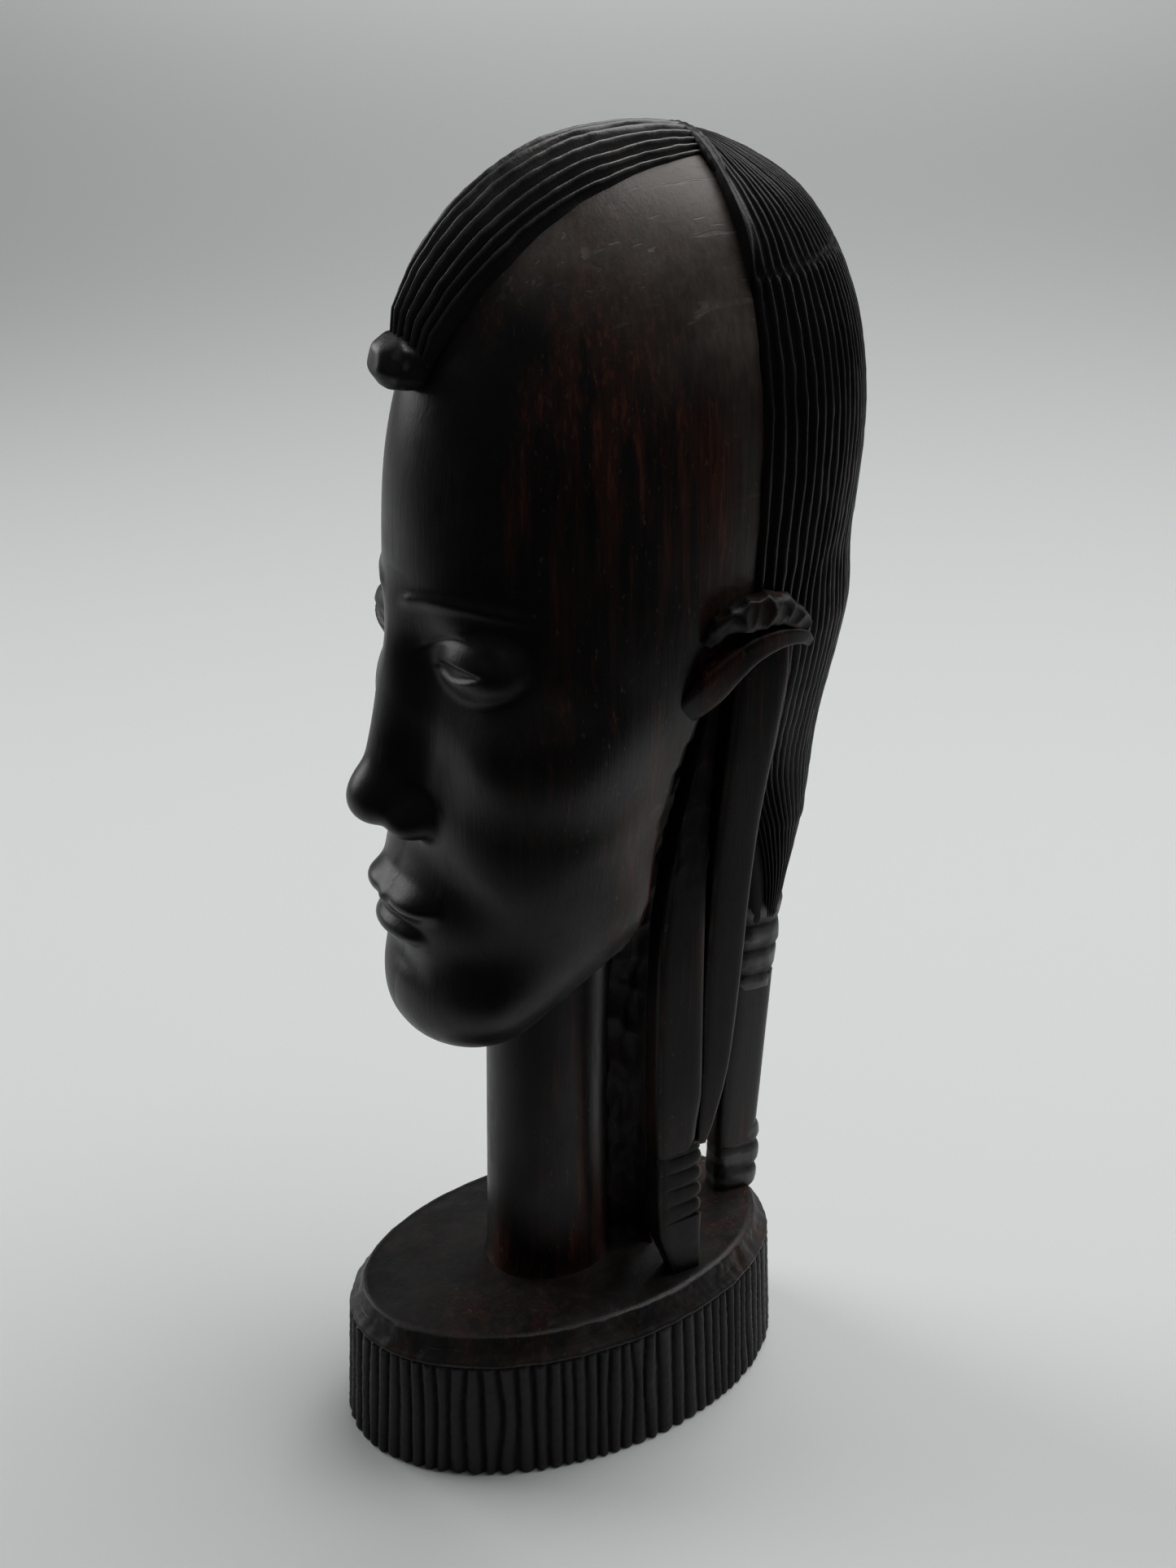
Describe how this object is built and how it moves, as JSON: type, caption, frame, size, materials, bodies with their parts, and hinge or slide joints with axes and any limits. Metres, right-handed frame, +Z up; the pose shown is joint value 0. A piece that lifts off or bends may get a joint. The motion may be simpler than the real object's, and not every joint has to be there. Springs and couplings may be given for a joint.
{
  "type": "carved wooden head bust",
  "caption": "Tall carved blackwood head with grooved braided hair, long looped earlobes and a smooth neck on an oval fluted plinth.",
  "frame": {"origin": "centre of the plinth's flat underside", "axes": "+Z up from the plinth to the crown; the face looks towards -Y; +X is the figure's own left"},
  "size_m": [0.065, 0.1045, 0.252],
  "materials": {
    "polished": "satin-polished dark blackwood with reddish streaks",
    "carved": "near-black, hand-grooved, dry",
    "heartwood": "satin brown-black heartwood",
    "tooled": "rough chisel marks, matte"
  },
  "bodies": {
    "root": {"plinth_skirt": "carved", "plinth_collar": "heartwood", "neck_column": "heartwood", "nape_web": "tooled", "head": "polished", "rear_hair": "carved", "hair_crest": "carved", "crown_parting": "carved", "forehead_knot": "carved", "hair_tie": "carved", "hair_tail": "polished", "tail_beads": "carved", "left_ear": "polished", "left_lobe_front": "polished", "left_lobe_rear": "polished", "left_ear_pendant": "heartwood", "right_ear": "polished", "right_lobe_front": "polished", "right_lobe_rear": "polished", "right_ear_pendant": "heartwood"}
  },
  "joints": []
}
